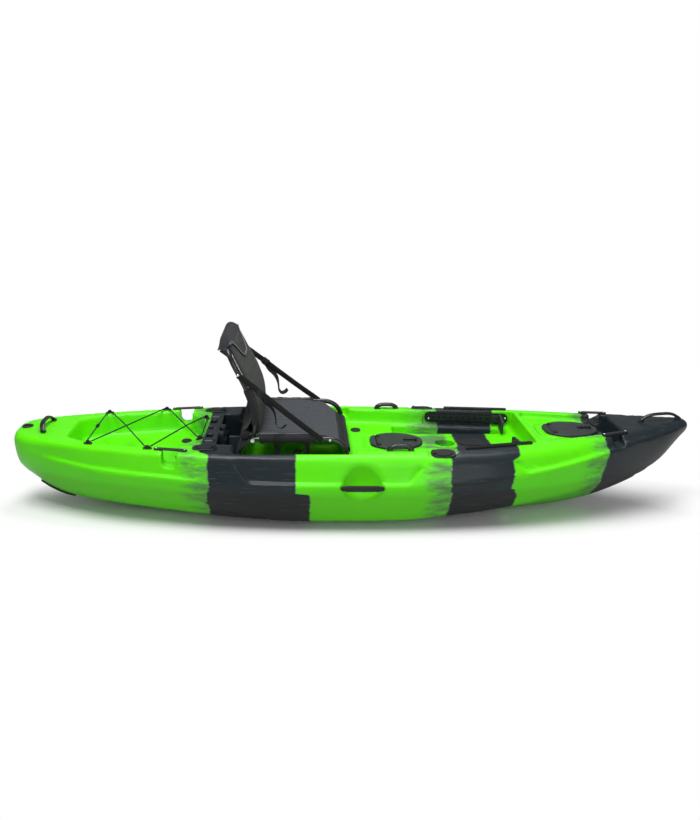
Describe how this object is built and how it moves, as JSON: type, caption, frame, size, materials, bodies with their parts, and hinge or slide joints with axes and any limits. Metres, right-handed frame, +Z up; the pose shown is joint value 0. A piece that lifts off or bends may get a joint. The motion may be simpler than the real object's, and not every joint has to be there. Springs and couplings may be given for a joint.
{
  "type": "sit-on-top fishing kayak",
  "caption": "Sit-on-top fishing kayak: hollow moulded hull, framed folding seat, hatches, rod holders, footrests, corded tankwell and carry handles.",
  "frame": {"origin": "bottom of the keel, halfway between the ends of the hull, on the centre line", "axes": "+X towards the bow, +Y to port, +Z up"},
  "size_m": [3.05, 0.792, 0.8371],
  "materials": {
    "hull": "satin rotomoulded polyethylene, green with slate bands",
    "fitting": "satin black moulding",
    "lid": "dark grey moulding with a fine grain",
    "frame": "black coated tube",
    "fabric": "woven dark grey seat fabric",
    "webbing": "black webbing",
    "rubber": "black rubber",
    "cord": "sheathed shock cord",
    "steel": "plated bolt"
  },
  "bodies": {
    "hull_and_fittings": {"hull": "hull", "stern_handle": "fitting", "bow_handle": "fitting", "side_handle_port": "fitting", "side_handle_starboard": "fitting", "grip_handle_port": "fitting", "grip_handle_starboard": "fitting", "stern_bar_port": "fitting", "stern_bar_starboard": "fitting", "bow_bar_port": "fitting", "bow_bar_starboard": "fitting", "gunwale_rail_port": "fitting", "gunwale_rail_starboard": "fitting", "rod_holder_rear_port": "fitting", "rod_holder_rear_starboard": "fitting", "rod_holder_front_port": "fitting", "rod_holder_front_starboard": "fitting", "footrest_track_port": "fitting", "footrest_track_starboard": "fitting", "mid_hatch_rim": "fitting", "bow_hatch_rim": "fitting", "console_plate": "fitting", "drain_plug": "fitting", "scupper_plug_tank_port": "rubber", "scupper_plug_tank_starboard": "rubber", "scupper_plug_seat_port": "rubber", "scupper_plug_seat_starboard": "rubber", "bungee_hook_rear_port": "fitting", "bungee_hook_rear_starboard": "fitting", "bungee_hook_middle_port": "fitting", "bungee_hook_middle_starboard": "fitting", "bungee_hook_front_port": "fitting", "bungee_hook_front_starboard": "fitting", "bungee_cord": "cord", "cord_lock": "fitting", "skid_plate": "rubber", "seat_side_loop_port": "frame", "seat_side_loop_starboard": "frame", "seat_front_tube": "frame", "seat_rear_tube": "frame", "seat_sling": "fabric", "seat_rear_roll": "fabric", "back_strap_port": "webbing", "back_strap_starboard": "webbing", "seat_pivot_bolt_port": "steel", "seat_pivot_bolt_starboard": "steel", "seat_tie_port": "webbing", "seat_tie_starboard": "webbing"},
    "mid_lid": {"mid_hatch_lid": "lid"},
    "mid_latch": {"mid_hatch_latch": "fitting"},
    "bow_lid": {"bow_hatch_lid": "lid"},
    "bow_latch": {"bow_hatch_latch": "fitting"},
    "seat_back": {"back_frame": "frame", "back_sling": "fabric"},
    "rod_lid_rear_port": {"rod_cap_rear_port": "rubber"},
    "rod_lid_rear_starboard": {"rod_cap_rear_starboard": "rubber"},
    "rod_lid_front_port": {"rod_cap_front_port": "rubber"},
    "rod_lid_front_starboard": {"rod_cap_front_starboard": "rubber"},
    "pedal_port": {"foot_pedal_port": "lid"},
    "pedal_starboard": {"foot_pedal_starboard": "lid"}
  },
  "joints": [
    {"name": "mid_lid_hinge", "type": "hinge", "parent": "hull_and_fittings", "child": "mid_lid", "pos_m": [0.12108, 0, 0.30785], "axis": [0, -1, 0], "range_deg": [0, 100]},
    {"name": "mid_latch_turn", "type": "hinge", "parent": "mid_lid", "child": "mid_latch", "pos_m": [0.29248, 0, 0.308], "axis": [0, 0, 1], "range_deg": [0, 90]},
    {"name": "bow_lid_hinge", "type": "hinge", "parent": "hull_and_fittings", "child": "bow_lid", "pos_m": [0.9089, 0, 0.36585], "axis": [0, -1, 0], "range_deg": [0, 100]},
    {"name": "bow_latch_turn", "type": "hinge", "parent": "bow_lid", "child": "bow_latch", "pos_m": [1.0803, 0, 0.366], "axis": [0, 0, 1], "range_deg": [0, 90]},
    {"name": "rod_lid_hinge_rear_port", "type": "hinge", "parent": "hull_and_fittings", "child": "rod_lid_rear_port", "pos_m": [-0.59645, 0.252, 0.37869], "axis": [0, 1, 0], "range_deg": [0, 95]},
    {"name": "rod_lid_hinge_rear_starboard", "type": "hinge", "parent": "hull_and_fittings", "child": "rod_lid_rear_starboard", "pos_m": [-0.59645, -0.252, 0.37869], "axis": [0, 1, 0], "range_deg": [0, 95]},
    {"name": "rod_lid_hinge_front_port", "type": "hinge", "parent": "hull_and_fittings", "child": "rod_lid_front_port", "pos_m": [0.325, 0.30478, 0.3725], "axis": [0, -0.9781, 0.2079], "range_deg": [0, 95]},
    {"name": "rod_lid_hinge_front_starboard", "type": "hinge", "parent": "hull_and_fittings", "child": "rod_lid_front_starboard", "pos_m": [0.325, -0.30478, 0.3725], "axis": [0, -0.9781, -0.2079], "range_deg": [0, 95]},
    {"name": "pedal_slide_port", "type": "slide", "parent": "hull_and_fittings", "child": "pedal_port", "axis": [0.9957, -0.0928, 0], "range_m": [-0.27, 0.005]},
    {"name": "pedal_slide_starboard", "type": "slide", "parent": "hull_and_fittings", "child": "pedal_starboard", "axis": [0.9957, 0.0928, 0], "range_m": [-0.27, 0.005]},
    {"name": "back_fold", "type": "hinge", "parent": "hull_and_fittings", "child": "seat_back", "pos_m": [-0.432, 0, 0.412], "axis": [0, 1, 0], "range_deg": [0, 20], "deforming": ["back_strap_port", "back_strap_starboard"]}
  ]
}
